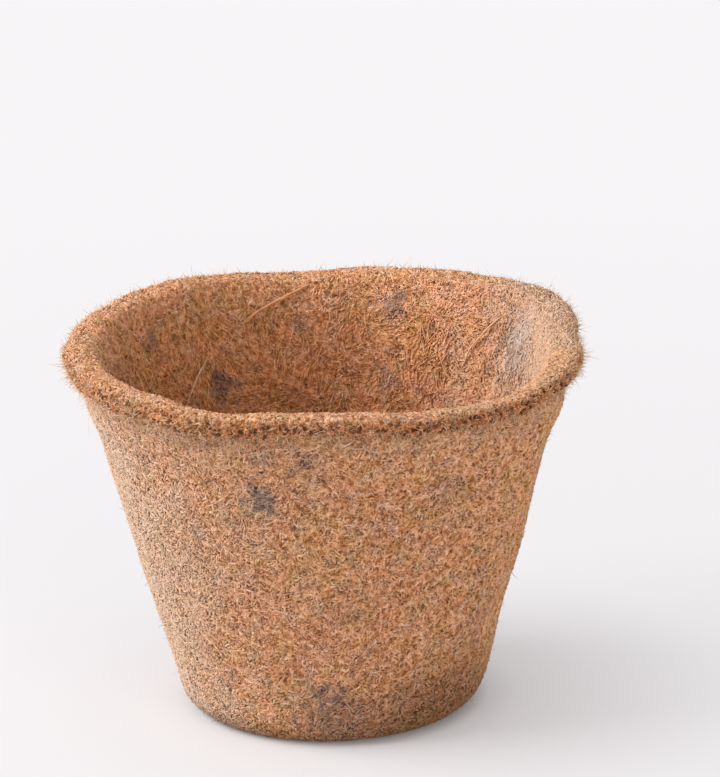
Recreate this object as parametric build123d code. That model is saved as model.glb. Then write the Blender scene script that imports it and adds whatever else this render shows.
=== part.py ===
from build123d import *

import os
from math import asin, atan2, cos, pi, radians, sin, sqrt

# A pressed coconut-fibre pot for a seedling: two webs of coir felt, one inside the other, with a
# film of natural rubber between them. It is open at the top, where the wall turns out into a lip.
# Millimetres. It stands on the XY plane, its axis is Z, and the side seen first faces -Y.

# Overall sizes
rim_diameter = 100.0  # across the lip's rounded edge
pot_height = 72.0
base_diameter = 55.5  # where the straight wall, carried down, would meet the ground

# Layers of the felt, from the outside in
outer_ply_thickness = 2.1
bond_thickness = 0.3
inner_ply_thickness = 1.6

# Bends of the felt
inner_foot_radius = 2.0  # inside, between the floor and the wall
lip_bend_radius = 6.0  # outside, where the wall turns out into the lip
lip_run = 0.3  # straight felt between that bend and the rounded edge
lip_angle = 64.0  # degrees that the lip leans from upright

# Husk flecks pressed flush into the felt's faces
fleck_depth = 0.8
fleck_length = 6.4  # of the largest fleck
fleck_overrun = 0.6  # by which the cutter of a fleck stands past the face

# Corners of a fleck's ragged outline, as shares of its length
fleck_corner_shares = [
    (0.50, 0.04),
    (0.27, 0.27),
    (-0.08, 0.33),
    (-0.36, 0.20),
    (-0.50, -0.06),
    (-0.25, -0.29),
    (0.12, -0.32),
    (0.38, -0.21),
]

# Loose strands that arch off the inner face, with both feet in the felt
strand_diameter = 0.5
strand_bury = 0.5  # of the feet, below the face
strand_lift = 1.7  # of the middle, off the face

# Places of the outside flecks: shares of a full turn, of the wall's height with the bend of the
# lip, of the fleck's length, and of a half turn that the fleck leans
outside_fleck_shares = [
    (0.704, 0.77, 1.00, 0.15),
    (0.752, 0.10, 0.95, 0.00),
    (0.648, 0.62, 0.55, 0.62),
    (0.706, 0.92, 0.66, 0.05),
    (0.735, 0.89, 0.72, 0.90),
    (0.784, 0.61, 0.45, 0.30),
    (0.890, 0.44, 0.50, 0.75),
    (0.960, 0.70, 0.80, 0.20),
    (0.060, 0.52, 0.62, 0.55),
    (0.145, 0.27, 0.90, 0.10),
    (0.225, 0.76, 0.58, 0.40),
    (0.330, 0.46, 1.00, 0.85),
    (0.415, 0.69, 0.48, 0.25),
    (0.480, 0.22, 0.74, 0.60),
    (0.560, 0.36, 0.52, 0.95),
]

# Places of the inside flecks, in the same shares
inside_fleck_shares = [
    (0.196, 0.90, 0.86, 0.10),
    (0.232, 0.92, 0.52, 0.45),
    (0.269, 0.85, 0.64, 0.70),
    (0.194, 0.68, 0.70, 0.05),
    (0.340, 0.69, 1.00, 0.30),
    (0.401, 0.87, 0.76, 0.55),
    (0.069, 0.86, 0.95, 0.80),
    (0.520, 0.42, 0.66, 0.20),
    (0.620, 0.72, 0.84, 0.60),
    (0.735, 0.50, 0.58, 0.35),
    (0.870, 0.78, 0.72, 0.90),
    (0.960, 0.33, 0.90, 0.15),
]

# Feet of the strands: shares of a turn and of the height for one foot, then for the other
strand_shares = [
    (0.316, 0.85, 0.258, 0.94),
    (0.376, 0.67, 0.350, 0.77),
    (0.446, 0.86, 0.418, 0.74),
    (0.130, 0.74, 0.100, 0.90),
    (0.020, 0.60, 0.052, 0.74),
    (0.560, 0.80, 0.590, 0.66),
    (0.680, 0.62, 0.655, 0.80),
    (0.800, 0.84, 0.840, 0.70),
]

# Worked out from the sizes above
felt_thickness = outer_ply_thickness + bond_thickness + inner_ply_thickness
bond_depth = outer_ply_thickness
inner_ply_depth = outer_ply_thickness + bond_thickness
edge_radius = felt_thickness / 2
foot_radius = inner_foot_radius + felt_thickness
lip_lean = radians(lip_angle)


def along(lean):
    """Direction up the felt in (radius, height), for a lean from upright."""
    return Vector(sin(lean), cos(lean))


def outward(lean):
    """Direction out of the felt's outer face, for a lean from upright."""
    return Vector(cos(lean), -sin(lean))


# Centres of the felt's bends, in (radius, height): the wall is tangent to the foot and the lip
edge_centre = Vector(rim_diameter / 2 - edge_radius, pot_height - edge_radius)
bend_centre = edge_centre - along(lip_lean) * lip_run + outward(lip_lean) * (lip_bend_radius + edge_radius)
wall_foot = Vector(base_diameter / 2, 0)
reach = bend_centre - wall_foot
wall_lean = atan2(reach.X, reach.Y) - asin(lip_bend_radius / reach.length)
foot_inset = foot_radius * (1 - sin(wall_lean)) / cos(wall_lean)
foot_centre = Vector(wall_foot.X - foot_inset, foot_radius)


def foot_point(depth, lean):
    """Point of the foot's bend on the face at this depth below the felt's outer face."""
    return foot_centre + outward(lean) * (foot_radius - depth)


def bend_point(depth, lean):
    """Point of the lip's bend on the face at this depth."""
    return bend_centre - outward(lean) * (lip_bend_radius + depth)


def edge_point(depth):
    """Point of the lip's rounded edge where the face at this depth comes out."""
    aside = edge_radius - depth
    ahead = sqrt(max(edge_radius**2 - aside**2, 0))
    return edge_centre + outward(lip_lean) * aside + along(lip_lean) * ahead


def edge_middle(depth, next_depth):
    """Point of the rounded edge halfway between the faces at two depths."""
    chord = (edge_point(depth) + edge_point(next_depth)) / 2 - edge_centre
    return edge_centre + chord.normalized() * edge_radius


def face_lines(depth):
    """The felt's face at this depth, from the axis to the lip's edge, as lines and arcs."""
    floor_lean = pi / 2
    foot_lean = (floor_lean + wall_lean) / 2
    bend_lean = (wall_lean + lip_lean) / 2
    floor_end = foot_point(depth, floor_lean)
    wall_start = foot_point(depth, wall_lean)
    wall_end = bend_point(depth, wall_lean)
    lip_start = bend_point(depth, lip_lean)
    return [
        Line((0, floor_end.Y), floor_end),
        ThreePointArc(floor_end, foot_point(depth, foot_lean), wall_start),
        Line(wall_start, wall_end),
        ThreePointArc(wall_end, bend_point(depth, bend_lean), lip_start),
        Line(lip_start, edge_point(depth)),
    ]


def felt_layer(depth, next_depth):
    """Cup of felt between the faces at two depths below the outer face."""
    axis_edge = Line((0, depth), (0, next_depth))
    edge_arc = ThreePointArc(edge_point(depth), edge_middle(depth, next_depth), edge_point(next_depth))
    outline = face_lines(depth) + [edge_arc] + face_lines(next_depth) + [axis_edge]
    return revolve(Plane.XZ * make_face(outline), Axis.Z)


def face_spot(depth, height_share):
    """Radius, height and lean on the face at this depth, some share up the wall and lip bend."""
    wall_start = foot_point(depth, wall_lean)
    wall_length = (bend_point(depth, wall_lean) - wall_start).length
    bend_radius = lip_bend_radius + depth
    travel = height_share * (wall_length + bend_radius * (lip_lean - wall_lean))
    if travel <= wall_length:
        return wall_start + along(wall_lean) * travel, wall_lean
    lean = wall_lean + (travel - wall_length) / bend_radius
    return bend_point(depth, lean), lean


def turned(flat, turn_share):
    """Place in space of a (radius, height) point, some share of a turn from +X."""
    angle = 2 * pi * turn_share
    return Vector(flat.X * cos(angle), flat.X * sin(angle), flat.Y)


def felt_point(depth, turn_share, height_share):
    """Place in space on the face at this depth."""
    spot, lean = face_spot(depth, height_share)
    return turned(spot, turn_share)


def fleck(skin, depth, turn_share, height_share, length_share, lean_share):
    """Bit of the felt's skin under a ragged outline that lies on the face at this depth."""
    spot, lean = face_spot(depth, height_share)
    tangent = Vector(-sin(2 * pi * turn_share), cos(2 * pi * turn_share), 0)
    place = Plane(turned(spot, turn_share), x_dir=tangent, z_dir=turned(outward(lean), turn_share))
    length = fleck_length * length_share
    corners = [(across * length, up * length) for across, up in fleck_corner_shares]
    outline = Rotation(0, 0, 180 * lean_share) * Polygon(*corners, align=None)
    cutter = extrude(place * outline, fleck_depth + fleck_overrun, both=True)
    return (skin & cutter).solid()


def strand(turn_share, height_share, next_turn_share, next_height_share):
    """Arched strand between two feet under the inner face."""
    foot = felt_point(felt_thickness - strand_bury, turn_share, height_share)
    far_foot = felt_point(felt_thickness - strand_bury, next_turn_share, next_height_share)
    middle_turn = (turn_share + next_turn_share) / 2
    middle_height = (height_share + next_height_share) / 2
    middle = felt_point(felt_thickness + strand_lift, middle_turn, middle_height)
    path = ThreePointArc(foot, middle, far_foot)
    section = Plane(path @ 0, z_dir=path % 0) * Circle(strand_diameter / 2)
    return sweep(section, path)


# The felt and what is caught in it
outer_skin = felt_layer(0, fleck_depth)
inner_skin = felt_layer(felt_thickness - fleck_depth, felt_thickness)
outside_flecks = [fleck(outer_skin, 0, *shares) for shares in outside_fleck_shares]
inside_flecks = [fleck(inner_skin, felt_thickness, *shares) for shares in inside_fleck_shares]

outer_ply = felt_layer(0, bond_depth) - outside_flecks
latex_bond = felt_layer(bond_depth, inner_ply_depth)
inner_felt = felt_layer(inner_ply_depth, felt_thickness)
inner_ply = inner_felt - inside_flecks
strands = [(strand(*shares) - inner_felt).solid() for shares in strand_shares]

nodes = {
    "outer_ply": outer_ply.solids(),
    "latex_bond": latex_bond.solids(),
    "inner_ply": inner_ply.solids(),
    "husk_flecks_outside": outside_flecks,
    "husk_flecks_inside": inside_flecks,
    "stray_strands": strands,
}

os.makedirs("parts", exist_ok=True)
for name, solids in nodes.items():
    export_step(Compound(label=name, children=solids), f"parts/{name}.step")
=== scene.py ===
"""Looks of a pressed coconut-fibre pot: felt shells, fibres, husk bits, strands, floor, light and camera.

Lengths are in metres. The felt is followed along its profile by a station, the length from the middle
of the underside, up the outside, over the lip and down the inside to the middle of the floor, and
round the pot by a turn, a share of a full circle from +X. The side seen first faces -Y.
"""

import math

import bmesh
import bpy
import numpy as np
from mathutils import Matrix, Vector


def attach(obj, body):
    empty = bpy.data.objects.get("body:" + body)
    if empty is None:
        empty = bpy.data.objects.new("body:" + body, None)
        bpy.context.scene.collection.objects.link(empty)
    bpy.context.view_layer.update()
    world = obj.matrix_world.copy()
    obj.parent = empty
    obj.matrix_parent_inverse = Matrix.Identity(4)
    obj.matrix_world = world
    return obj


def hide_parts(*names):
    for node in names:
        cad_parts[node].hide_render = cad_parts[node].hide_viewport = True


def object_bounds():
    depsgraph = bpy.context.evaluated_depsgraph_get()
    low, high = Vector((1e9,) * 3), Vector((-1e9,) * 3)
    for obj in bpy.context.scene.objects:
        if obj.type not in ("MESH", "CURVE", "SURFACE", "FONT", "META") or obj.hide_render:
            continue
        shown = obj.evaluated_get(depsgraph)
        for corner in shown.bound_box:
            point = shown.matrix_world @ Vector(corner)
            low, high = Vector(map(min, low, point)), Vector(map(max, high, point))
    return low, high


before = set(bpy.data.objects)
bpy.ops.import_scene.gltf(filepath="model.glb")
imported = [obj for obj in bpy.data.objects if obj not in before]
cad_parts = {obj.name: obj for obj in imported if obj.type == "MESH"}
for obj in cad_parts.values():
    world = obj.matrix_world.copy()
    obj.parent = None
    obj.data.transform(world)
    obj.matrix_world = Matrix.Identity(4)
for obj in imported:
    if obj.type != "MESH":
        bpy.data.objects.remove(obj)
cad_low, cad_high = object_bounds()

# Sizes of the felt cup
rim_radius = cad_high.x
pot_height = cad_high.z
wall_base_radius = 0.02775
felt_thickness = 0.004
outer_ply_depth = 0.0021
inner_ply_depth = 0.0024
inner_foot_radius = 0.002
lip_bend_radius = 0.006
lip_run = 0.0003
lip_lean = math.radians(64.0)
edge_radius = felt_thickness / 2
foot_radius = inner_foot_radius + felt_thickness

# Unevenness of the hand-pressed rim: turn share, spread share and size of each bump
rim_height_bumps = [
    (0.06, 0.050, 0.0012),
    (0.130, 0.045, 0.0007),
    (0.27, 0.055, -0.0011),
    (0.355, 0.035, 0.0007),
    (0.448, 0.022, 0.0006),
    (0.69, 0.035, -0.0011),
    (0.75, 0.030, 0.0006),
    (0.82, 0.060, -0.0014),
    (0.89, 0.040, -0.0022),
]
rim_radius_bumps = [
    (0.005, 0.045, -0.0019),
    (0.07, 0.050, 0.0009),
    (0.46, 0.035, -0.0008),
    (0.53, 0.070, -0.0004),
    (0.87, 0.055, -0.0003),
    (0.938, 0.032, 0.0011),
]
rim_rise_share = 0.45

# Fuller felt under the lip, where the lip runs softly into the wall
neck_bumps = [
    (0.54, 0.090, 0.0011),
    (0.76, 0.100, 0.0006),
    (0.98, 0.060, 0.0009),
]
neck_height = 0.0620
neck_spread = 0.0038

# Crease under the lip's rolled edge, and where round the pot it fades
crease_depth = 0.0017
crease_spread = 0.0009
crease_place_share = 0.70
crease_reach = 0.0017
crease_fades = [
    (0.57, 0.120, 1.0),
    (0.25, 0.100, 0.5),
    (0.77, 0.080, 0.35),
]

# Fuller corner between the lip's top and the inner wall
shoulder_height = 0.0011
shoulder_spread = 0.0021
shoulder_place_share = 0.30

# Thinner stretches of the lip, pressed in from below
pinch_bumps = [
    (0.770, 0.080, 0.0006),
    (0.905, 0.055, 0.0016),
]
pinch_spread = 0.0016
pinch_place_share = 0.15

# Open, pitted lower half of the lip's cut edge, darkened too by painted shade where the roll turns under,
# which reaches higher in some places
cut_band_bumps = [
    (0.66, 0.040, 0.0004),
    (0.90, 0.060, 0.0011),
    (0.99, 0.050, -0.0010),
]
cut_band_end_share = 0.60
cut_band_blend = 0.0005
cut_fade_share = 0.4

# Long soft waves of the wall and the lip's edge
wall_ripple_size = 0.00016
wall_ripple_length = 0.018
edge_ripple_size = 0.00013
edge_ripple_length = 0.011

# Painted light on the left outside and the right inside, a pale veil where the key lamp falls: turn share,
# spread share and strength share
outside_painted_light_bumps = [(0.560, 0.090, 0.76)]
inside_painted_light_bumps = [(0.030, 0.095, 0.62)]
painted_light_blend = 0.003
painted_light_ragged_share = 0.02
painted_light_ragged_length = 0.012

# Painted light where the wall turns out into the lip, lifting the lip's shade from the wall under it
neck_painted_light_share = 0.12
neck_painted_light_place_share = 0.25
neck_painted_light_spread = 0.002

# Painted shade at the foot, where the felt turns under towards the floor, darker and higher at the front
# right, with bumps of its strength and its reach
foot_shade_strength = 0.70
foot_shade_strength_bumps = [(0.86, 0.10, 0.20)]
foot_shade_start = -0.005
foot_shade_reach = 0.002
foot_shade_reach_bumps = [(0.87, 0.10, 0.020)]

# Places on the lip's rounded edge and on the base, under it and inside, as shares of the way along them
crown_share = 0.50
crest_share = 0.85
fringe_end_share = 0.75
wall_start_share = 0.62
inner_wall_end_share = 0.72


# The felt's profile

arc_points = 24
edge_points = 32
profile_samples = 1600


def along(lean):
    """Direction up the felt in (radius, height), for a lean from upright."""
    return np.array([math.sin(lean), math.cos(lean)])


def outward(lean):
    """Direction out of the felt's outer face, for a lean from upright."""
    return np.array([math.cos(lean), -math.sin(lean)])


edge_centre = np.array([rim_radius - edge_radius, pot_height - edge_radius])
bend_centre = edge_centre - along(lip_lean) * lip_run + outward(lip_lean) * (lip_bend_radius + edge_radius)
bend_reach = bend_centre - np.array([wall_base_radius, 0])
wall_lean = math.atan2(*bend_reach) - math.asin(lip_bend_radius / np.linalg.norm(bend_reach))
foot_inset = foot_radius * (1 - math.sin(wall_lean)) / math.cos(wall_lean)
foot_centre = np.array([wall_base_radius - foot_inset, foot_radius])


def swing(centre, radius, start, end, count=arc_points):
    """Points of an arc about a centre, between two leans; a negative radius takes the other side."""
    return [centre + outward(lean) * radius for lean in np.linspace(start, end, count)]


def face_points(depth):
    """Profile of the face at a depth below the outer face: floor, foot, and bend of the lip."""
    foot = swing(foot_centre, foot_radius - depth, math.pi / 2, wall_lean)
    bend = swing(bend_centre, -(lip_bend_radius + depth), wall_lean, lip_lean)
    return [np.array([0, depth])], foot, bend


def run_lengths(points):
    """Length along a line of points, at each of them."""
    return np.concatenate([[0], np.cumsum(np.linalg.norm(np.diff(points, axis=0), axis=1))])


def felt_profile():
    """Points of the whole profile, their stations, and the station at the end of each run by name."""
    outer_floor, outer_foot, outer_bend = face_points(0)
    inner_floor, inner_foot, inner_bend = face_points(felt_thickness)
    edge = swing(edge_centre, edge_radius, lip_lean, lip_lean - math.pi, edge_points)
    runs = [
        ("underside", outer_floor),
        ("foot", outer_foot),
        ("wall", outer_bend[:1]),
        ("bend", outer_bend[1:]),
        ("edge", edge),
        ("inner_bend", inner_bend[::-1]),
        ("inner_foot", inner_foot[::-1]),
        ("floor", inner_floor),
    ]
    points = np.array([point for name, run in runs for point in run])
    stations = run_lengths(points)
    last = np.cumsum([len(run) for name, run in runs]) - 1
    ends = {name: stations[index] for (name, run), index in zip(runs, last)}
    return points, stations, ends


profile_points, profile_stations, end_of = felt_profile()
felt_length = profile_stations[-1]
even_stations = np.linspace(0, felt_length, profile_samples)
even_radius = np.interp(even_stations, profile_stations, profile_points[:, 0])
even_height = np.interp(even_stations, profile_stations, profile_points[:, 1])
radius_slope = np.gradient(even_radius, even_stations)
height_slope = np.gradient(even_height, even_stations)


def between(start, end, share):
    """Station some share of the way between the ends of two runs."""
    return end_of[start] + (end_of[end] - end_of[start]) * share


lip_crown = between("bend", "edge", crown_share)
lip_crest = between("bend", "edge", crest_share)
fringe_end = between("bend", "edge", fringe_end_share)
cut_band_end = between("bend", "edge", cut_band_end_share)
pinch_station = between("bend", "edge", pinch_place_share)
shoulder_station = between("edge", "inner_bend", shoulder_place_share)
neck_painted_light_station = between("wall", "bend", neck_painted_light_place_share)
crease_station = between("wall", "bend", crease_place_share)
wall_start = between("underside", "foot", wall_start_share)
inner_wall_end = felt_length - end_of["foot"] * inner_wall_end_share


# Unevenness

ripple_waves = 24
ripple_length_shares = (0.7, 1.6)
least_radius = foot_radius / 4


def turned(radius, height, turn):
    """Places in space at a radius and height, some turn round the pot."""
    angle = math.tau * turn
    return np.stack([radius * np.cos(angle), radius * np.sin(angle), height], axis=-1)


def turn_from(place, turn):
    """Signed share of a circle from a place to a turn, the short way round."""
    return (turn - place + 0.5) % 1 - 0.5


def bell(value, middle, spread):
    """Smooth bump of unit size about a middle value."""
    return np.exp(-(((value - middle) / spread) ** 2))


def smooth(value, low, high):
    """Smooth step from 0 to 1 between two values."""
    share = np.clip((value - low) / (high - low), 0, 1)
    return share * share * (3 - 2 * share)


def bumps(turn, table):
    """Sum of a table's bumps at each turn."""
    total = np.zeros_like(turn)
    for place, spread, size in table:
        total += size * bell(turn_from(place, turn), 0, spread)
    return total


def ripples(points, length, seed):
    """Smooth noise of about unit size at points in space, with bumps of about this length."""
    draw = np.random.default_rng(seed)
    direction = draw.normal(size=(ripple_waves, 3))
    direction /= np.linalg.norm(direction, axis=1, keepdims=True)
    lengths = length * draw.uniform(*ripple_length_shares, size=(ripple_waves, 1))
    pitch = math.tau / lengths
    phase = draw.uniform(0, math.tau, size=ripple_waves)
    total = np.zeros(points.shape[:-1])
    for vector, start in zip(direction * pitch, phase):
        total += np.sin(points @ vector + start)
    return total * math.sqrt(2 / ripple_waves)


def unevenness(turn, height):
    """How far the felt stands out and up from the true cup, for each turn and height."""
    rise = smooth(height, rim_rise_share * pot_height, pot_height)
    off_floor = smooth(height, 0, foot_radius)
    ring = turned(rim_radius, height, turn)
    wall_wave = wall_ripple_size * ripples(ring, wall_ripple_length, seed=11)
    edge_wave_out = edge_ripple_size * ripples(ring, edge_ripple_length, seed=12)
    edge_wave_up = edge_ripple_size * ripples(ring, edge_ripple_length, seed=13)
    out = rise * (bumps(turn, rim_radius_bumps) + edge_wave_out)
    out = out + bell(height, neck_height, neck_spread) * bumps(turn, neck_bumps) + off_floor * wall_wave
    up = rise * (bumps(turn, rim_height_bumps) + edge_wave_up)
    return out, up


def crease_share(station, turn, spread):
    """How near the middle of the crease each place is, from 0 to 1."""
    return bell(station, crease_station, spread) * (1 - bumps(turn, crease_fades))


def felt_sides(station, turn):
    """Directions out of the felt's face, along its profile and round the pot."""
    radius_step = np.interp(station, even_stations, radius_slope)
    height_step = np.interp(station, even_stations, height_slope)
    size = np.hypot(radius_step, height_step)
    normal = turned(height_step / size, -radius_step / size, turn)
    forward = turned(radius_step / size, height_step / size, turn)
    angle = math.tau * turn
    sideways = np.stack([-np.sin(angle), np.cos(angle), np.zeros_like(angle)], axis=-1)
    return normal, forward, sideways


def felt_place(station, turn, lift):
    """Place on the felt at a station and turn, lifted off its face; nothing goes below the floor."""
    lift = lift - crease_depth * crease_share(station, turn, crease_spread)
    lift = lift - bumps(turn, pinch_bumps) * bell(station, pinch_station, pinch_spread)
    lift = lift + shoulder_height * bell(station, shoulder_station, shoulder_spread)
    radius = np.interp(station, even_stations, even_radius)
    height = np.interp(station, even_stations, even_height)
    radius = radius + lift * np.interp(station, even_stations, height_slope)
    height = height - lift * np.interp(station, even_stations, radius_slope)
    out, up = unevenness(turn, height)
    return turned(radius + out, np.maximum(height + up, 0), turn)


def girth(station):
    """Way round the pot at a station, kept from shrinking to nothing at the axis."""
    return math.tau * np.maximum(np.interp(station, even_stations, even_radius), least_radius)


# Where light and shade are painted on the felt, and where it is pitted

def painted_light_share(station, turn):
    """How much painted light is on the felt at each place, from 0 to 1: where the key lamp falls, and under
    the lip.
    """
    outside = smooth(station, 0, end_of["foot"])
    outside = outside - smooth(station, end_of["wall"] - painted_light_blend, end_of["bend"])
    inside = smooth(station, lip_crown - painted_light_blend, lip_crown + painted_light_blend)
    inside = inside - smooth(station, end_of["inner_bend"], inner_wall_end)
    # Painted light under the lip
    neck = neck_painted_light_share * bell(station, neck_painted_light_station, neck_painted_light_spread)
    places = turned(rim_radius, station, turn)
    ragged = turn + painted_light_ragged_share * ripples(places, painted_light_ragged_length, seed=23)
    return neck + outside * bumps(ragged, outside_painted_light_bumps) + inside * bumps(ragged, inside_painted_light_bumps)


def foot_painted_shade_share(station, turn):
    """How dark with painted shade the felt is at the foot, from 0 to 1."""
    strength = foot_shade_strength + bumps(turn, foot_shade_strength_bumps)
    reach = foot_shade_reach + bumps(turn, foot_shade_reach_bumps)
    return strength * (1 - smooth(station - end_of["foot"], foot_shade_start, reach))


def cut_pits_and_shade_share(station, turn):
    """How pitted and darkened by painted shade the felt is: all of it on the lower half of the lip's cut
    edge, from 0 to 1.
    """
    start = smooth(station, crease_station - crease_spread, crease_station)
    band_end = cut_band_end + bumps(turn, cut_band_bumps)
    end = 1 - smooth(station, band_end - cut_band_blend, band_end + cut_band_blend)
    return start * end * (1 - cut_fade_share * bumps(turn, crease_fades))


# Meshes

weld_gap = 1e-6


def new_object(name, data):
    """Object of the scene that holds some data."""
    holder = bpy.data.objects.new(name, data)
    bpy.context.scene.collection.objects.link(holder)
    return holder


def new_piece(name, points, faces, material):
    """Mesh object from points and same-sided faces, smooth, riding on the pot."""
    mesh = bpy.data.meshes.new(name)
    corners = faces.shape[1]
    mesh.vertices.add(len(points))
    mesh.vertices.foreach_set("co", np.asarray(points, np.float32).ravel())
    mesh.loops.add(faces.size)
    mesh.loops.foreach_set("vertex_index", np.asarray(faces, np.int32).ravel())
    mesh.polygons.add(len(faces))
    mesh.polygons.foreach_set("loop_start", np.arange(0, faces.size, corners, dtype=np.int32))
    mesh.polygons.foreach_set("use_smooth", np.ones(len(faces), bool))
    mesh.update(calc_edges=True)
    mesh.materials.append(material)
    piece = new_object(name, mesh)
    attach(piece, "root")
    return piece


def add_values(piece, name, values):
    """A named number for each point of a piece."""
    attribute = piece.data.attributes.new(name, "FLOAT", "POINT")
    attribute.data.foreach_set("value", np.asarray(values, np.float32).ravel())


def weld(piece):
    """Joins the points of a piece that lie on each other, as at the middle of a round face."""
    shape = bmesh.new()
    shape.from_mesh(piece.data)
    bmesh.ops.remove_doubles(shape, verts=shape.verts, dist=weld_gap)
    shape.to_mesh(piece.data)
    shape.free()


def ring_faces(rows, turns):
    """Quads between closed rings of points; the last ring joins the first."""
    grid = np.arange(rows * turns).reshape(rows, turns)
    ahead = np.roll(grid, -1, axis=1)
    corners = [grid, ahead, np.roll(ahead, -1, axis=0), np.roll(grid, -1, axis=0)]
    return np.stack(corners, axis=-1).reshape(-1, 4)


# Solids of the CAD model that the looks follow

husk_fade_power = 1.5
inside_husk_share = 0.85


def islands(node):
    """Points of each separate solid of a CAD node, in a steady order."""
    shape = bmesh.new()
    shape.from_mesh(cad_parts[node].data)
    bmesh.ops.remove_doubles(shape, verts=shape.verts, dist=weld_gap)
    left = set(shape.verts)
    groups = []
    while left:
        front = [left.pop()]
        group = []
        while front:
            vertex = front.pop()
            group.append(tuple(vertex.co))
            for edge in vertex.link_edges:
                other = edge.other_vert(vertex)
                if other in left:
                    left.remove(other)
                    front.append(other)
        groups.append(np.array(sorted(group)))
    shape.free()
    return sorted(groups, key=lambda group: tuple(group.mean(axis=0)))


def husk_spots(node, low, high, strength_share):
    """Station, turn, reach and strength of each husk bit of a node; the largest bits are the darkest."""
    inside = (even_stations >= low) & (even_stations <= high)
    spots = []
    for group in islands(node):
        middle = group.mean(axis=0)
        reach = np.linalg.norm(group - middle, axis=1).max()
        away = np.hypot(even_radius - math.hypot(middle[0], middle[1]), even_height - middle[2])
        station = even_stations[inside][np.argmin(away[inside])]
        spots.append((station, math.atan2(middle[1], middle[0]) / math.tau, reach))
    largest = max(reach for station, turn, reach in spots)
    return [
        (station, turn, reach, strength_share * (reach / largest) ** husk_fade_power)
        for station, turn, reach in spots
    ]


outside_spots = husk_spots("husk_flecks_outside", 0, lip_crown, 1)
inside_spots = husk_spots("husk_flecks_inside", lip_crown, felt_length, inside_husk_share)

# Husk dust round each bit, and soft stains of it: share up the wall, turn share, reach and strength share
dust_reach_share = 0.90
dust_ragged_share = 0.30
dust_ragged_length = 0.0025
dust_edge_shares = (0.45, 1.50)
outside_stains = [
    (0.06, 0.752, 0.0066, 0.52),
    (0.88, 0.735, 0.0050, 0.14),
    (0.84, 0.838, 0.0045, 0.30),
    (0.42, 0.765, 0.0040, 0.22),
    (0.55, 0.640, 0.0045, 0.20),
    (0.30, 0.900, 0.0060, 0.20),
    (0.50, 0.200, 0.0060, 0.30),
    (0.20, 0.400, 0.0065, 0.35),
]
inside_stains = [
    (0.96, 0.069, 0.0070, 0.75),
    (0.90, 0.455, 0.0050, 0.25),
]
all_dust = outside_spots + inside_spots
all_dust += [(between("foot", "wall", share), *spot) for share, *spot in outside_stains]
all_dust += [(between("inner_foot", "inner_bend", share), *spot) for share, *spot in inside_stains]


def husk_share(station, turn):
    """How dark with husk the felt is at each place, from 0 to 1."""
    places = turned(rim_radius, station, turn)
    ragged = dust_ragged_share * ripples(places, dust_ragged_length, seed=21)
    share = np.zeros_like(ragged)
    for middle, middle_turn, reach, strength in all_dust:
        aside = turn_from(middle_turn, turn) * girth(station)
        away = np.hypot(station - middle, aside) / (reach * dust_reach_share) + ragged
        share = np.maximum(share, strength * (1 - smooth(away, *dust_edge_shares)))
    return share


def felt_values(station, turn):
    """How dark with husk the felt is, how much painted light and painted shade are on it, and how pitted
    its cut edge is, at each place, by name.
    """
    shares = {"husk": husk_share, "painted_light": painted_light_share, "foot_painted_shade": foot_painted_shade_share, "cut_pits_and_shade": cut_pits_and_shade_share}
    return {name: share(station, turn) for name, share in shares.items()}


# Fibres: three-sided spindles, each with its own island in a square cell of the bake map

spindle_sides = 3
taper_share = 0.85
tiny = 1e-12
island_low_share = 0.10
island_size_share = 0.80


def spindle_corners(rings):
    """Corners of one closed spindle's triangles as (ring, side); its first and last rings are its tips."""
    corners = []
    for side in range(spindle_sides):
        corners += [(0, side + 0.5), (1, side), (1, side + 1)]
        for ring in range(1, rings - 2):
            corners += [(ring, side), (ring + 1, side + 1), (ring, side + 1)]
            corners += [(ring, side), (ring + 1, side), (ring + 1, side + 1)]
        corners += [(rings - 2, side), (rings - 1, side + 0.5), (rings - 2, side + 1)]
    return np.array(corners)


def spindle_indices(corners, rings):
    """Number of each corner's point in a spindle: the first tip, the rings in turn, the last tip."""
    ring = corners[:, 0].astype(int)
    side = corners[:, 1].astype(int) % spindle_sides
    index = 1 + (ring - 1) * spindle_sides + side
    index[ring == 0] = 0
    index[ring == rings - 1] = 1 + (rings - 2) * spindle_sides
    return index


def add_bake_map(piece, corners, count, rings):
    """One small island for each spindle, in a square grid of cells."""
    cells = math.ceil(math.sqrt(count))
    cell_place = np.stack([np.arange(count) % cells, np.arange(count) // cells], axis=-1)
    island = island_low_share + island_size_share * corners / [rings - 1, spindle_sides]
    flat = (cell_place[:, None] + island) / cells
    layer = piece.data.uv_layers.new(name="OFBake")
    layer.uv.foreach_set("vector", flat.astype(np.float32).ravel())


def by_point(values):
    """Values along each spindle, (count, rings), given to its points."""
    middle = np.repeat(values[:, 1:-1], spindle_sides, axis=1)
    return np.concatenate([values[:, :1], middle, values[:, -1:]], axis=1)


def unit(vectors):
    """Vectors brought to unit length."""
    return vectors / (np.linalg.norm(vectors, axis=-1, keepdims=True) + tiny)


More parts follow.
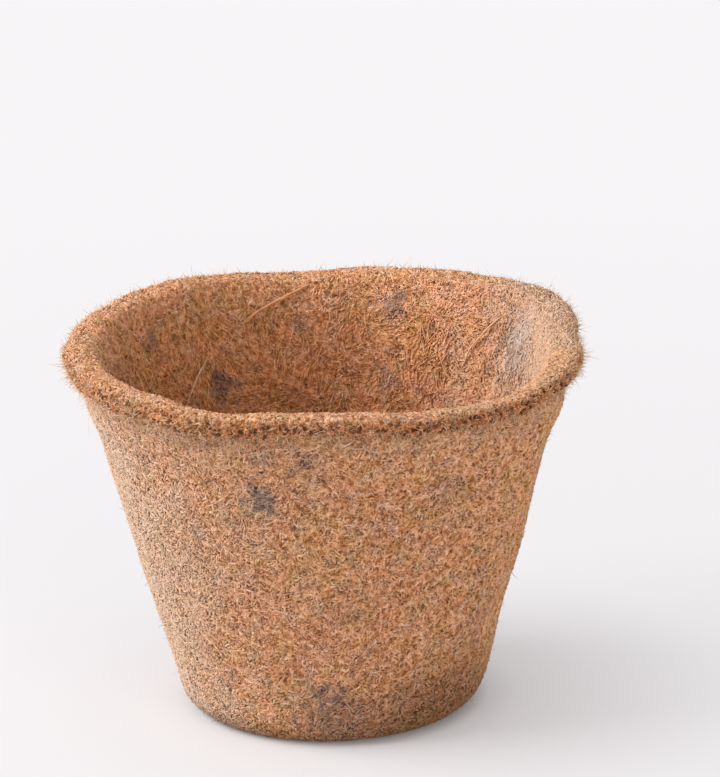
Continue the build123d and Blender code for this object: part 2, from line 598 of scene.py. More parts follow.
def spindles(name, centre, side_hint, radius, values, material):
    """Piece of closed fibres about centre lines of (count, rings, 3) points, with a tip at both ends."""
    count, rings = centre.shape[:2]
    tangent = unit(np.gradient(centre, axis=1))
    across = unit(np.cross(tangent, side_hint))
    upright = np.cross(across, tangent)
    angle = math.tau * np.arange(spindle_sides) / spindle_sides
    ring = np.cos(angle)[:, None] * across[:, :, None] + np.sin(angle)[:, None] * upright[:, :, None]
    body = centre[:, :, None] + radius[:, :, None, None] * ring
    body = body[:, 1:-1].reshape(count, -1, 3)
    points = np.concatenate([centre[:, :1], body, centre[:, -1:]], axis=1)
    points[:, :, 2] = np.maximum(points[:, :, 2], 0)
    corners = spindle_corners(rings)
    faces = spindle_indices(corners, rings) + np.arange(count)[:, None] * points.shape[1]
    piece = new_piece(name, points.reshape(-1, 3), faces.reshape(-1, 3), material)
    for key, value in values.items():
        add_values(piece, key, by_point(np.broadcast_to(value, (count, rings))))
    add_bake_map(piece, corners, count, rings)
    return piece


def spread_stations(draw, count, low, high):
    """Stations spread evenly over the felt's area between two stations."""
    inside = (even_stations >= low) & (even_stations <= high)
    area = np.cumsum(even_radius[inside] + tiny)
    return np.interp(draw.uniform(0, area[-1], count), area, even_stations[inside])


def tapered(draw, count, width, rings, spread):
    """Radii along fibres of about this width: full in the middle, slim at the ends."""
    share = np.linspace(-1, 1, rings)
    shape = np.sqrt(1 - taper_share * share**4)
    return width / 2 * np.exp(draw.normal(0, spread, size=(count, 1))) * shape


# How much the lying fibres differ, one by one and from place to place
length_spread = 0.35
width_spread = 0.25
rise_shares = (0.55, 1.35)
curl_spread = 0.9
crease_stray = 0.2
swirl_length = 0.014
crest_spread = 0.0022
# Fibres paler on the lip's crest: a painted highlight where light falls on the top of the roll
crest_painted_highlight = 0.18
# Fibres paler under the lip: painted light
neck_painted_light_tint = 0.18
# Fibres darker in the crease under the lip: painted shade
crease_painted_shade = 0.40
# Fibres darker on the lip's cut edge: painted shade
cut_painted_shade = 0.20
dust_mix_share = 0.75


def lying_fibres(
    name, seed, count, low, high, length, width, rings, sink, rise, humps, sweep, swirl, stray,
    tint, tint_spread, material, slot,
):
    """A set of fibres woven into the felt between two stations.

    Each one starts below the face and comes up over it, to sink and rise, as many times as it has humps.
    Sweep is the mean angle of the fibres from straight up the profile, swirl how far that angle drifts
    from place to place, and stray how far each fibre leaves it. Fibres at the crease lie along it.
    """
    draw = np.random.default_rng(seed)
    station = spread_stations(draw, count, low, high)
    turn = draw.uniform(0, 1, count)
    lengths = length * np.exp(draw.normal(0, length_spread, count))
    place = felt_place(station, turn, np.zeros(count))
    heading = sweep + swirl * ripples(place, swirl_length, seed=22) + stray * draw.normal(0, 1, count)
    creased = draw.uniform(0, 1, count) < crease_share(station, turn, crease_reach)
    heading = np.where(creased, math.pi / 2 + draw.normal(0, crease_stray, count), heading)
    curl = draw.normal(0, curl_spread, count)
    height = rise * draw.uniform(*rise_shares, count)
    share = np.linspace(-0.5, 0.5, rings)
    angle = heading[:, None] + curl[:, None] * share
    step = lengths[:, None] / (rings - 1)
    up = np.cumsum(np.cos(angle) * step, axis=1)
    aside = np.cumsum(np.sin(angle) * step, axis=1)
    middle = rings // 2
    stations = np.clip(station[:, None] + up - up[:, middle:middle + 1], 0, felt_length)
    turns = turn[:, None] + (aside - aside[:, middle:middle + 1]) / girth(stations)
    wave = 0.5 - 0.5 * np.cos(math.tau * humps * (share + 0.5))
    lifts = height[:, None] * wave - sink
    centre = felt_place(stations, turns, lifts)
    normal = felt_sides(stations, turns)[0]
    tints = draw.normal(tint, tint_spread, count)
    # Painted highlight on the lip's crest
    tints = tints + crest_painted_highlight * bell(station, lip_crest, crest_spread)
    # Painted light under the lip
    tints = tints + neck_painted_light_tint * bell(station, neck_painted_light_station, neck_painted_light_spread)
    # Painted shade in the crease
    tints = tints - crease_painted_shade * crease_share(station, turn, crease_spread)
    # Painted shade on the cut edge
    tints = tints - cut_painted_shade * cut_pits_and_shade_share(station, turn)
    values = felt_values(stations, turns)
    values["husk"] = values["husk"] * draw.uniform(dust_mix_share, 1, (count, 1))
    values["tint"] = np.clip(tints, 0, 1)[:, None]
    radius = tapered(draw, count, width, rings, width_spread)
    spindles(name, centre, normal, radius, values, material)


# How much the standing hairs differ, and how they thin towards their ends
hair_length_spread = 0.4
hair_width_spread = 0.2
hair_stand_spread = 0.3
least_hair_stand = 0.1
hair_bend_spread = 0.32
hair_thinning_share = 0.6
hair_tint_spread = 0.2


def standing_hairs(name, seed, count, low, high, length, width, rings, stand, tint, material, slot):
    """A set of fine hairs that stand off the felt between two stations, at about an angle from its face."""
    draw = np.random.default_rng(seed)
    station = spread_stations(draw, count, low, high)
    turn = draw.uniform(0, 1, count)
    lengths = length * np.exp(draw.normal(0, hair_length_spread, count))
    normal, forward, sideways = felt_sides(station, turn)
    heading = draw.uniform(0, math.tau, (count, 1))
    angle = np.clip(draw.normal(stand, hair_stand_spread, (count, 1)), least_hair_stand, math.pi / 2)
    flat_way = np.cos(heading) * forward + np.sin(heading) * sideways
    way = np.sin(angle) * normal + np.cos(angle) * flat_way
    bend = draw.normal(0, hair_bend_spread, (count, 3))
    share = np.linspace(0, 1, rings)[None, :, None]
    root = felt_place(station, turn, np.full(count, -width))
    centre = root[:, None] + lengths[:, None, None] * (way[:, None] * share + bend[:, None] * share**2)
    centre[:, :, 2] = np.maximum(centre[:, :, 2], width)
    hint = np.cross(way, draw.normal(size=(count, 3)))[:, None] * np.ones((1, rings, 1))
    thinning = 1 - hair_thinning_share * np.linspace(0, 1, rings) ** 2
    radius = width / 2 * np.exp(draw.normal(0, hair_width_spread, (count, 1))) * thinning
    tints = draw.normal(tint, hair_tint_spread, count)
    values = {
        "tint": np.clip(tints, 0, 1)[:, None],
        # Painted light, and painted shade at the foot, on each hair
        "painted_light": painted_light_share(station, turn)[:, None],
        "foot_painted_shade": foot_painted_shade_share(station, turn)[:, None],
    }
    spindles(name, centre, hint, radius, values, material)


# Materials

straw = (0.97, 0.70, 0.50)
tan = (0.84, 0.460, 0.245)
rust = (0.62, 0.300, 0.140)
umber = (0.24, 0.105, 0.048)
pink = (0.90, 0.47, 0.35)
orange = (0.87, 0.43, 0.165)
olive = (0.68, 0.46, 0.225)
grey_tan = (0.62, 0.45, 0.36)
# Colour that the painted light mixes in, on the lit sides and under the lip
painted_light_colour = (0.68, 0.512, 0.390)
husk_dark = (0.060, 0.027, 0.023)
husk_pale = (0.365, 0.240, 0.212)
# Husk's colour under the painted light
husk_painted_light_colour = (0.60, 0.485, 0.425)
sheen_tint = (1.0, 0.74, 0.52)
# Colour of the painted shade at the foot
foot_shade_colour = (0.36, 0.31, 0.28)
sheen_roughness = 0.45
specular_level = 0.05
fibre_roughness = (0.92, 0.68)
pith_roughness = (0.95, 0.75)
pith_sheen = 0.05
# How soon the husk takes the painted light's colour
husk_fading = 1.8
blot_share = 0.5

# Noise and fine relief of the materials
soft_detail = 2.0
fine_detail = 3.0
pith_detail = 4.0
patches_per_metre = 190.0
blots_per_metre = 310.0
streaks_per_metre = 850.0
pits_per_metre = 760.0
cuts_per_metre = 850.0
stains_per_metre = 1100.0
grains_per_metre = 2400.0
pith_grains_per_metre = 1500.0
grain_strength = 0.6
pith_strength = 0.8
ground_depth = 0.0004
pith_depth = 0.0003

# Colour ramps: place and colour of each stop
patch_stops = [(0.38, olive), (0.47, tan), (0.56, pink)]
blot_stops = [(0.37, grey_tan), (0.47, tan), (0.60, orange)]
outer_streaks = [(0.34, (0.70, 0.57, 0.44)), (0.60, (1, 1.02, 1.08))]
inner_streaks = [(0.34, (0.67, 0.53, 0.39)), (0.60, (0.99, 0.945, 0.90))]
strand_streaks = [(0.34, (0.85, 0.80, 0.76)), (0.60, (1, 1, 1))]
pit_stops = [(0.18, (0.27, 0.13, 0.06)), (0.38, (1, 1, 1))]
# Pits of the lip's cut edge, and painted shade over the band from the pale stop below white
cut_pit_and_shade_stops = [(0.31, (0.10, 0.038, 0.015)), (0.54, (0.83, 0.635, 0.495))]
stain_stops = [(0.44, husk_dark), (0.60, husk_pale)]
pith_stops = [(0.30, (0.080, 0.038, 0.031)), (0.52, (0.18, 0.102, 0.082)), (0.72, husk_pale)]
fibre_stops = [(0.0, umber), (0.18, rust), (0.48, tan), (1.0, straw)]
ground_stops = [(0.0, umber), (0.35, rust), (0.70, tan)]
hair_stops = [(0.0, tan), (1.0, (0.95, 0.77, 0.54))]
strand_stops = [(0.0, rust), (0.4, tan), (0.8, straw), (1.0, (1.0, 0.82, 0.60))]

# Kinds of coir: name, tint stops, streaks, share of patches, share of pits, sheen and depth of its grain
coir_kinds = [
    ("outer_coir", fibre_stops, outer_streaks, 0.52, 0.55, 0.10, 0),
    ("inner_coir", fibre_stops, inner_streaks, 0.50, 0.30, 0.08, 0),
    ("outer_ground", ground_stops, outer_streaks, 0.48, 0.55, 0.05, ground_depth),
    ("inner_ground", ground_stops, inner_streaks, 0.48, 0.30, 0.05, ground_depth),
    ("pale_fibre", hair_stops, outer_streaks, 0.15, 0.30, 0.15, 0),
    ("strand_fibre", strand_stops, strand_streaks, 0.15, 0, 0.10, 0),
]


def feed(tree, socket, value):
    """Gives an input a value, or links it to another node's output."""
    if isinstance(value, bpy.types.NodeSocket):
        tree.links.new(value, socket)
    else:
        socket.default_value = value


def add_node(tree, kind, inputs=None, **settings):
    """New shader node with its settings, and with values or other nodes' outputs as inputs."""
    node = tree.nodes.new(kind)
    for key, value in settings.items():
        setattr(node, key, value)
    for key, value in (inputs or {}).items():
        feed(tree, node.inputs[key], value)
    return node


def add_value(tree, name):
    """A piece's named number."""
    return add_node(tree, "ShaderNodeAttribute", attribute_name=name).outputs["Fac"]


def add_ramp(tree, factor, stops):
    """Colour ramp over a factor; stops are (place, colour)."""
    ramp = add_node(tree, "ShaderNodeValToRGB", {"Fac": factor})
    elements = ramp.color_ramp.elements
    while len(elements) < len(stops):
        elements.new(1.0)
    for element, (place, colour) in zip(elements, stops):
        element.position = place
        element.color = (*colour, 1)
    return ramp.outputs["Color"]


def add_mix(tree, factor, first, second, blend="MIX"):
    """Mix of two colours; the factor and the colours are values or other nodes' outputs."""
    mix = add_node(tree, "ShaderNodeMix", data_type="RGBA", blend_type=blend)
    sockets = [socket for socket in mix.inputs if socket.enabled]
    for socket, value in zip(sockets, (factor, first, second)):
        feed(tree, socket, value)
    return [socket for socket in mix.outputs if socket.enabled][0]


def own_space(tree):
    """Places in a piece's own space."""
    return add_node(tree, "ShaderNodeTexCoord").outputs["Object"]


def add_noise(tree, scale, detail=soft_detail):
    """Noise with this many bumps to the metre."""
    inputs = {"Vector": own_space(tree), "Scale": scale, "Detail": detail}
    return add_node(tree, "ShaderNodeTexNoise", inputs).outputs["Fac"]


def add_dots(tree, scale):
    """Distance from the nearest of scattered dots, with this many dots to the metre."""
    inputs = {"Vector": own_space(tree), "Scale": scale}
    return add_node(tree, "ShaderNodeTexVoronoi", inputs).outputs["Distance"]


def add_range(tree, factor, low, high):
    """A factor of 0 to 1 spread between two values."""
    inputs = {"Value": factor, "To Min": low, "To Max": high}
    return add_node(tree, "ShaderNodeMapRange", inputs).outputs["Result"]


def add_math(tree, operation, first, second):
    """Two numbers put together by an operation."""
    return add_node(tree, "ShaderNodeMath", {0: first, 1: second}, operation=operation).outputs["Value"]


def add_relief(tree, shader, height, strength, depth):
    """Fine relief on a shader's surface, from a height of 0 to 1."""
    inputs = {"Strength": strength, "Distance": depth, "Height": height}
    relief = add_node(tree, "ShaderNodeBump", inputs)
    tree.links.new(relief.outputs["Normal"], shader.inputs["Normal"])


def new_material(name, sheen):
    """Matt fibre material with a soft sheen; returns it with its node tree and shader."""
    material = bpy.data.materials.new(name)
    material.use_nodes = True
    shader = material.node_tree.nodes["Principled BSDF"]
    shader.inputs["Specular IOR Level"].default_value = specular_level
    shader.inputs["Sheen Weight"].default_value = sheen
    shader.inputs["Sheen Roughness"].default_value = sheen_roughness
    shader.inputs["Sheen Tint"].default_value = (*sheen_tint, 1)
    return material, material.node_tree, shader


def coir_material(name, stops, streaks, patch_share, pit_share, sheen, grain_depth):
    """Coir: each fibre's own tint, soft patches of colour, fine streaks, pits, husk stains, painted light,
    and painted shade on the cut edge and at the foot.
    """
    material, tree, shader = new_material(name, sheen)
    tint = add_value(tree, "tint")
    painted_light = add_value(tree, "painted_light")
    patch = add_ramp(tree, add_noise(tree, patches_per_metre), patch_stops)
    blot = add_ramp(tree, add_noise(tree, blots_per_metre), blot_stops)
    mottle = add_mix(tree, blot_share, patch, blot)
    coloured = add_mix(tree, patch_share, add_ramp(tree, tint, stops), mottle)
    streak = add_ramp(tree, add_noise(tree, streaks_per_metre), streaks)
    streaked = add_mix(tree, 1.0, coloured, streak, "MULTIPLY")
    pits = add_ramp(tree, add_dots(tree, pits_per_metre), pit_stops)
    pitted = add_mix(tree, pit_share, streaked, pits, "MULTIPLY")
    # Painted light on the lit sides and under the lip
    painted_lit = add_mix(tree, painted_light, pitted, (*painted_light_colour, 1))
    # Pits and painted shade on the lip's cut edge
    cuts = add_ramp(tree, add_dots(tree, cuts_per_metre), cut_pit_and_shade_stops)
    cut_pits_and_shade = add_mix(tree, add_value(tree, "cut_pits_and_shade"), painted_lit, cuts, "MULTIPLY")
    stain = add_ramp(tree, add_noise(tree, stains_per_metre, fine_detail), stain_stops)
    husk = add_value(tree, "husk")
    stain = add_mix(tree, husk, (*husk_pale, 1), stain)
    # Husk stains fade to the painted light's colour
    stain = add_mix(tree, add_range(tree, painted_light, 0, husk_fading), stain, (*husk_painted_light_colour, 1))
    # Painted shade at the foot
    foot_painted_shade = add_mix(tree, add_value(tree, "foot_painted_shade"), cut_pits_and_shade, (*foot_shade_colour, 1), "MULTIPLY")
    stained = add_mix(tree, husk, foot_painted_shade, stain)
    tree.links.new(stained, shader.inputs["Base Color"])
    tree.links.new(add_range(tree, tint, *fibre_roughness), shader.inputs["Roughness"])
    if grain_depth:
        grain = add_noise(tree, grains_per_metre, fine_detail)
        add_relief(tree, shader, grain, grain_strength, grain_depth)
    return material


def husk_material():
    """Husk: dark violet-brown pith with paler grains, paler where painted light is on the felt."""
    material, tree, shader = new_material("husk_pith", pith_sheen)
    grain = add_noise(tree, pith_grains_per_metre, pith_detail)
    # Painted light on the husk
    faded = add_range(tree, add_value(tree, "painted_light"), 0, husk_fading)
    pith = add_mix(tree, faded, add_ramp(tree, grain, pith_stops), (*husk_painted_light_colour, 1))
    tree.links.new(pith, shader.inputs["Base Color"])
    tree.links.new(add_range(tree, grain, *pith_roughness), shader.inputs["Roughness"])
    add_relief(tree, shader, grain, pith_strength, pith_depth)
    return material


coir = {name: coir_material(name, *looks) for name, *looks in coir_kinds}
husk_pith = husk_material()


# Felt shells

shell_turns = 340
hidden_step = 4
shell_sink = 0.00017
fine_relief = 0.00008
fine_relief_length = 0.0014
broad_relief = 0.00006
broad_relief_length = 0.004
ground_tint = 0.58
ground_tint_spread = 0.22
ground_tint_length = 0.0011
# Ground darker on the lip's cut edge: painted shade
cut_ground_painted_shade = 0.30


def felt_shell(name, runs, hidden_depth, hidden_first, material):
    """Closed cup whose shown face has rows along the runs given and whose hidden face is at a depth."""
    turn = np.arange(shell_turns) / shell_turns
    row_stations = np.unique(np.concatenate([np.linspace(*run) for run in runs]))
    stations, turns = np.meshgrid(row_stations, turn, indexing="ij")
    flat = felt_place(stations, turns, np.zeros_like(stations))
    relief = fine_relief * ripples(flat, fine_relief_length, seed=31)
    relief = relief + broad_relief * ripples(flat, broad_relief_length, seed=32)
    shown = felt_place(stations, turns, relief - shell_sink)
    floor, foot, bend = face_points(hidden_depth)
    back = np.array(floor + foot[::hidden_step] + bend[::hidden_step])
    radius = back[:, :1] * np.ones(shell_turns)
    height = back[:, 1:] * np.ones(shell_turns)
    out, up = unevenness(np.broadcast_to(turn, radius.shape), height)
    hidden = turned(np.where(radius > 0, radius + out, 0), height + up, turn)
    rows = np.concatenate([shown, hidden if hidden_first else hidden[::-1]])
    piece = new_piece(name, rows.reshape(-1, 3), ring_faces(*rows.shape[:2]), material)
    values = felt_values(stations, turns)
    tint = ground_tint + ground_tint_spread * ripples(shown, ground_tint_length, seed=33)
    values["tint"] = np.clip(tint - cut_ground_painted_shade * values["cut_pits_and_shade"], 0, 1)
    for key, shown_values in values.items():
        filled = np.zeros(rows.shape[:2])
        filled[:len(shown)] = shown_values
        add_values(piece, key, filled)
    weld(piece)
    return piece


# Rows of the shells: start, end and count of each run
outer_runs = [
    (0, end_of["foot"], 36),
    (end_of["foot"], end_of["wall"], 110),
    (end_of["wall"], lip_crown, 46),
]
inner_runs = [
    (lip_crown, end_of["inner_bend"], 34),
    (end_of["inner_bend"], end_of["inner_foot"], 110),
    (end_of["inner_foot"], felt_length, 30),
]
outer_felt = felt_shell("outer_felt", outer_runs, outer_ply_depth, False, coir["outer_ground"])
inner_felt = felt_shell("inner_felt", inner_runs, inner_ply_depth, True, coir["inner_ground"])
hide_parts("outer_ply", "latex_bond")
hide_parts("inner_ply")


# Husk bits

bit_size_share = 0.72
bit_sides = 30
bit_rings = 6
bit_wave_orders = (2, 3, 5, 8, 12)
bit_wave_power = 0.6
bit_ragged_share = 0.2
bit_reach_shares = (0.35, 1.5)
bit_crown = 0.00020
bit_sink = 0.0005
bit_depth = 0.001
bit_relief = 0.00009
bit_relief_length = 0.0009


def husk_bits(name, node, spots, seed):
    """Ragged, low flakes of husk in the felt, one for each bit of the CAD node, which they replace."""
    draw = np.random.default_rng(seed)
    angle = math.tau * np.arange(bit_sides) / bit_sides
    rows_of = []
    painted_light_of = []
    for station, turn, reach, strength in spots:
        ragged = np.ones(bit_sides)
        for order in bit_wave_orders:
            wave = np.cos(order * angle + draw.uniform(0, math.tau))
            ragged += draw.normal(0, bit_ragged_share) / order**bit_wave_power * wave
        ragged = np.clip(ragged, *bit_reach_shares) * reach * bit_size_share * math.sqrt(strength)
        share = np.linspace(1, 0, bit_rings)[:, None]
        stations = station + share * ragged * np.sin(angle)
        turns = turn + share * ragged * np.cos(angle) / girth(np.array(station))
        flat = felt_place(stations, turns, np.zeros_like(stations))
        relief = bit_relief * ripples(flat, bit_relief_length, seed=41)
        lift = bit_crown * (1 - share**2) - shell_sink + relief
        lift[0] = -bit_sink
        lift[-1] = lift[-1].mean()
        top = felt_place(stations, turns, lift)
        low = felt_place(stations[-1:], turns[-1:], np.full((1, bit_sides), -bit_depth))
        rows_of.append(np.concatenate([low, top]))
        # Painted light on each bit
        painted_light_of.append(np.full(rows_of[-1].shape[:2], painted_light_share(np.array(station), np.array(turn))))
    rows = np.array(rows_of)
    faces = ring_faces(*rows.shape[1:3])
    offset = np.arange(len(rows))[:, None, None] * rows.shape[1] * rows.shape[2]
    piece = new_piece(name, rows.reshape(-1, 3), (faces[None] + offset).reshape(-1, 4), husk_pith)
    add_values(piece, "painted_light", np.array(painted_light_of))
    weld(piece)
    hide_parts(node)


husk_bits("husk_bits_outside", "husk_flecks_outside", outside_spots, seed=51)
husk_bits("husk_bits_inside", "husk_flecks_inside", inside_spots, seed=52)


# Zones of the felt, from one station to another
underside = (0, wall_start)
wall = (wall_start, end_of["wall"])
lip = (end_of["wall"], end_of["inner_bend"])
inner_wall = (end_of["edge"], inner_wall_end)
inner_floor = (inner_wall_end, felt_length)

# Ways that fibres lie: sweep, swirl and stray, in radians
any_way = (0, 0, 10.0)
swept = (-0.7, 0.7, 0.45)

# Kinds of fibre: length, width, rings, sink, rise and humps
bit = (0.0017, 0.00036, 3, 0.00022, 0.00036, 1)
curved = (0.0025, 0.00030, 4, 0.00023, 0.00038, 1)
long_outside = (0.0058, 0.00024, 10, 0.00020, 0.00040, 2)
long_inside = (0.0046, 0.00030, 7, 0.00026, 0.00034, 1)
bit_inside = (0.0018, 0.00038, 3, 0.00024, 0.00029, 1)
flat_under = (0.0026, 0.00025, 4, 0.00022, 0.00030, 1)

# Looks of fibres: material and slot
outer_look = (coir["outer_coir"], "outer_coir")
inner_look = (coir["inner_coir"], "inner_coir")
hair_look = (coir["pale_fibre"], "strand")

# Lying fibres: name, sets, first seed, fibres in a set, zone, kind, way, tint, tint spread and look
fibre_sets = [
    ("wall_bits", 3, 100, 25000, wall, bit, any_way, 0.54, 0.32, outer_look),
    ("wall_fibres", 2, 106, 11000, wall, curved, any_way, 0.58, 0.28, outer_look),
    ("wall_long_fibres", 1, 110, 2200, wall, long_outside, any_way, 0.70, 0.20, outer_look),
    ("underside_fibres", 1, 160, 7000, underside, flat_under, any_way, 0.50, 0.28, outer_look),
    ("lip_bits", 1, 120, 26000, lip, bit, any_way, 0.56, 0.34, outer_look),
    ("lip_fibres", 1, 121, 8000, lip, curved, any_way, 0.58, 0.30, outer_look),
    ("inner_fibres", 3, 140, 4800, inner_wall, long_inside, swept, 0.50, 0.17, inner_look),
    ("inner_bits", 2, 145, 26000, inner_wall, bit_inside, any_way, 0.52, 0.20, inner_look),
    ("inner_floor_fibres", 1, 150, 5200, inner_floor, long_inside, any_way, 0.50, 0.22, inner_look),
]
for name, sets, seed, count, zone, kind, way, tint, tint_spread, look in fibre_sets:
    for index in range(sets):
        label = f"{name}_{index + 1}" if sets > 1 else name
        lying_fibres(label, seed + index, count, *zone, *kind, *way, tint, tint_spread, *look)

# Fine hairs that stand off the felt: name, seed, count, start, end, length, width, rings, stand and tint
hair_sets = [
    ("rim_fringe", 170, 14000, end_of["wall"], fringe_end, 0.0011, 0.00009, 4, 0.8, 0.65),
    ("wall_fuzz", 171, 8000, wall_start, end_of["wall"], 0.0008, 0.00008, 4, 0.5, 0.5),
    ("inner_fuzz", 172, 1400, end_of["inner_bend"], inner_wall_end, 0.0024, 0.00011, 6, 0.5, 0.4),
]
for hair_set in hair_sets:
    standing_hairs(*hair_set, *hair_look)


# Loose strands

strand_rings = 12
strand_width = 0.00060
least_strand_width = 0.00028
strand_reach = 0.0018
strand_bury = 0.0008
strand_rest = 0.00025
strand_lift_share = 0.35
strand_single_length = 0.016
strand_pitch = 0.0013
strand_fray = 0.0006
strand_kink = 0.00020
strand_kink_orders = (2, 3, 5)
strand_width_power = 3
strand_width_spread = 0.1
strand_climb_share = 1.0
short_strand_tint = 2.6
strand_tint_drop = 2.5
strand_tint_spread = 0.08

# Finer fibres of a strand: how much of its ends they may miss, and how wide they are
fray_miss_share = 0.35
fray_width_shares = (0.4, 0.7)


def on_felt(points):
    """Line near the inner face laid on the uneven felt, both ends let in, and how much painted light is on
    it there.
    """
    inside = even_stations >= lip_crown
    radius = np.hypot(points[:, 0], points[:, 1])
    away = np.hypot(even_radius[inside] - radius[:, None], even_height[inside] - points[:, 2:])
    nearest = np.flatnonzero(inside)[np.argmin(away, axis=1)]
    lift = (radius - even_radius[nearest]) * height_slope[nearest]
    lift = lift - (points[:, 2] - even_height[nearest]) * radius_slope[nearest]
    lift = strand_rest + strand_lift_share * np.maximum(lift, 0)
    lift[[0, -1]] = -strand_bury
    turn = np.arctan2(points[:, 1], points[:, 0]) / math.tau
    station = even_stations[nearest]
    bend_share = (station - end_of["edge"]) / (end_of["inner_bend"] - end_of["edge"])
    climbed_share = bend_share - strand_climb_share * np.maximum(1 - bend_share, 0) ** 2
    station = between("edge", "inner_bend", np.maximum(climbed_share, 0))
    return felt_place(station, turn, lift), painted_light_share(station, turn)


def along_line(line, run, places):
    """Points of a line at places along it, where run is the place of each of its own points."""
    return np.stack([np.interp(places, run, line[:, axis]) for axis in range(3)], axis=-1)


def strand_line(points):
    """Line on the felt along a strand's solid and a little past its ends, the painted light on it, and its
    length.
    """
    middle = points.mean(axis=0)
    way = np.linalg.svd(points - middle)[2][0]
    place = (points - middle) @ way
    edges = np.linspace(place.min(), place.max() + tiny, strand_rings - 1)
    inside = [(place >= low) & (place <= high) for low, high in zip(edges[:-1], edges[1:])]
    line = [points[chosen].mean(axis=0) for chosen in inside if chosen.any()]
    line = np.array([line[0] - way * strand_reach] + line + [line[-1] + way * strand_reach])
    run = run_lengths(line)
    even = np.linspace(0, run[-1], strand_rings)
    return *on_felt(along_line(line, run, even)), run[-1]


def loose_strands(seed):
    """A fibre along each CAD strand; longer strands are coarser and darker, with finer fibres that fray."""
    draw = np.random.default_rng(seed)
    lines = []
    widths = []
    tints = []
    painted_lights = []
    share = np.linspace(0, 1, strand_rings)
    strands = [strand_line(points) for points in islands("stray_strands")]
    longest = max(length for line, painted_light, length in strands)
    for line, painted_light, length in strands:
        for fibre in range(1 + max(0, round((length - strand_single_length) / strand_pitch))):
            first = draw.uniform(0, fray_miss_share) * (fibre > 0)
            last = 1 - draw.uniform(0, fray_miss_share) * (fibre > 0)
            path = along_line(line, share, first + (last - first) * share)
            path = path + (share[:, None] - 0.5) * draw.normal(0, strand_fray, 3) * (fibre > 0)
            for order in strand_kink_orders:
                wave = np.sin(order * math.pi * share[:, None] + draw.uniform(0, math.tau, 3))
                path = path + strand_kink * wave * draw.normal(0, 1, 3) / order
            lines.append(path)
            painted_lights.append(painted_light)
            width = max(least_strand_width, strand_width * (length / longest) ** strand_width_power)
            widths.append(width * (1 if fibre == 0 else draw.uniform(*fray_width_shares)))
            tint = short_strand_tint - strand_tint_drop * length / longest
            tints.append(tint + draw.normal(0, strand_tint_spread))
    centre = np.array(lines)
    count = len(centre)
    hint = np.concatenate([centre[:, :, :2], np.zeros((count, strand_rings, 1))], axis=-1)
    radius = tapered(draw, count, np.array(widths)[:, None], strand_rings, strand_width_spread)
    # Painted light along each strand
    values = {"tint": np.clip(tints, 0, 1)[:, None], "painted_light": np.array(painted_lights)}
    piece = spindles("loose_strands", centre, hint, radius, values, coir["strand_fibre"])
    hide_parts("stray_strands")


loose_strands(seed=61)


# Floor and room

floor_reach = 4.0
floor_corners = [(x * floor_reach, y * floor_reach, 0) for x, y in ((-1, -1), (1, -1), (1, 1), (-1, 1))]
floor_mesh = bpy.data.meshes.new("floor")
floor_mesh.from_pydata(floor_corners, [], [(0, 1, 2, 3)])
floor = new_object("floor", floor_mesh)
floor_colour = (0.72, 0.715, 0.735, 1)
floor_roughness = 0.9
glow_full = 0.35
glow_shares = [(0.069, 0.02), (0.077, 0.12), (0.086, 0.36), (0.103, 0.48), (0.229, 0.76), (1.0, 1.0)]
room_colour = (1.0, 0.975, 0.995, 1)
room_light = 0.25
room_look = 0.935


def add_seen(tree, low, high):
    """A low value for the light that falls on the pot and a high one for what the eye sees."""
    path = add_node(tree, "ShaderNodeLightPath")
    seen = path.outputs["Is Camera Ray"]
    for kind in ("Is Glossy Ray", "Is Transmission Ray"):
        seen = add_math(tree, "MAXIMUM", seen, path.outputs[kind])
    return add_range(tree, seen, low, high)


def floor_material():
    """Pale paint that looks brighter than its light on the pot, and far away looks like the room."""
    material = bpy.data.materials.new("floor_paint")
    material.use_nodes = True
    tree = material.node_tree
    paint = tree.nodes["Principled BSDF"]
    paint.inputs["Base Color"].default_value = floor_colour
    paint.inputs["Roughness"].default_value = floor_roughness
    glow = add_node(tree, "ShaderNodeEmission", {"Color": room_colour, "Strength": room_look})
    distance = add_node(tree, "ShaderNodeVectorMath", {0: own_space(tree)}, operation="LENGTH")
    reach = add_math(tree, "DIVIDE", distance.outputs["Value"], glow_full)
    away = add_ramp(tree, reach, [(place, (light,) * 3) for place, light in glow_shares])
    share = add_math(tree, "MULTIPLY", add_seen(tree, 0, 1), away)
    inputs = {"Fac": share, 1: paint.outputs["BSDF"], 2: glow.outputs["Emission"]}
    mix = add_node(tree, "ShaderNodeMixShader", inputs)
    tree.links.new(mix.outputs["Shader"], tree.nodes["Material Output"].inputs["Surface"])
    return material


floor_mesh.materials.append(floor_material())

world = bpy.data.worlds.new("soft_room")
bpy.context.scene.world = world
world.use_nodes = True
room = world.node_tree.nodes["Background"]
room.inputs["Color"].default_value = room_colour
world.node_tree.links.new(add_seen(world.node_tree, room_light, room_look), room.inputs["Strength"])


# Lamps: name, place, size, power and colour

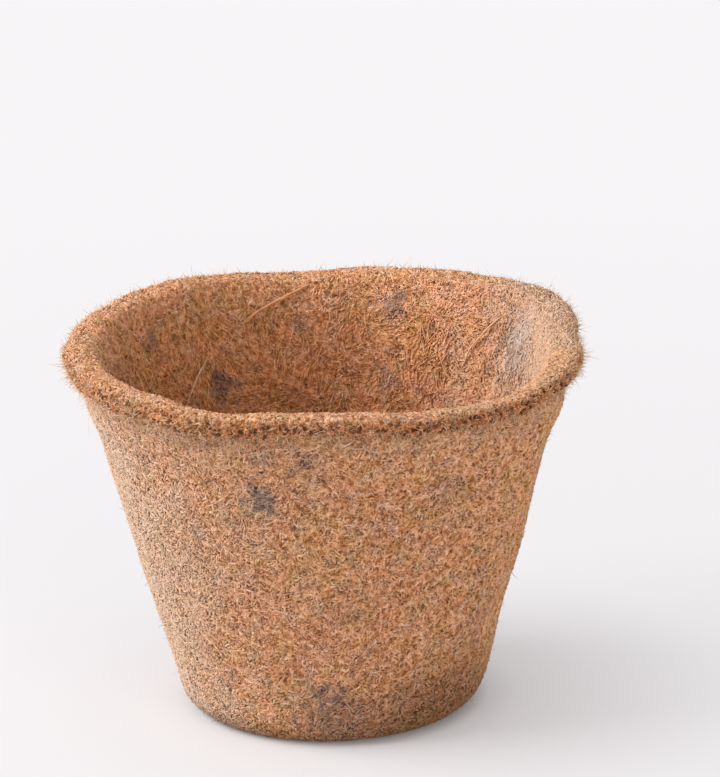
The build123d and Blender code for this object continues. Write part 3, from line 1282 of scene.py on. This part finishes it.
daylight = (1.0, 0.99, 0.98)
warm_light = (1.0, 0.94, 0.80)
lamps = [
    ("key", (-0.888, -0.062, 0.66), 0.8, 16.2, daylight),
    ("top", (-0.10, 0.0, 1.33), 0.9, 1.8, daylight),
    ("fill", (0.60, -1.06, 0.16), 0.9, 10.6, warm_light),
]


def soft_lamp(name, place, size, power, colour):
    """Square lamp that faces the middle of the pot."""
    lamp = bpy.data.lights.new(name, "AREA")
    lamp.size = size
    lamp.energy = power
    lamp.color = colour
    holder = new_object(name, lamp)
    aim = Vector((0, 0, pot_height / 2)) - Vector(place)
    holder.location = place
    holder.rotation_euler = aim.to_track_quat("-Z", "Y").to_euler()


for lamp in lamps:
    soft_lamp(*lamp)


# Camera

image_width = 720
image_height = 777
view_elevation = math.radians(19.0)
view_roll = math.radians(1.37)
view_distance = 1.088
view_reach = 20.0
pixels_per_metre = 5223.0
target_height = 0.038
target_pixel = (328.2, 508.1)
sensor_size = 36.0


def place_camera():
    """Camera at the photograph's angle, aimed so that the target falls on its pixel."""
    away = Vector((0, -math.cos(view_elevation), math.sin(view_elevation)))
    level = Vector((1, 0, 0))
    steep = Vector((0, math.sin(view_elevation), math.cos(view_elevation)))
    image_right = level * math.cos(view_roll) - steep * math.sin(view_roll)
    image_up = level * math.sin(view_roll) + steep * math.cos(view_roll)
    target = Vector((0, 0, target_height))
    place = target + away * view_distance
    aim = target + image_right * (image_width / 2 - target_pixel[0]) / pixels_per_metre
    aim = aim + image_up * (target_pixel[1] - image_height / 2) / pixels_per_metre
    backward = (place - aim).normalized()
    sideways = image_up.cross(backward).normalized()
    upward = backward.cross(sideways)
    data = bpy.data.cameras.new("camera")
    data.sensor_width = sensor_size
    data.lens = pixels_per_metre * view_distance * sensor_size / image_height
    data.clip_end = view_reach
    camera = new_object("camera", data)
    turn = Matrix((sideways, upward, backward)).transposed().to_4x4()
    camera.matrix_world = Matrix.Translation(place) @ turn
    bpy.context.scene.camera = camera


place_camera()
bpy.context.scene.view_settings.view_transform = "Standard"
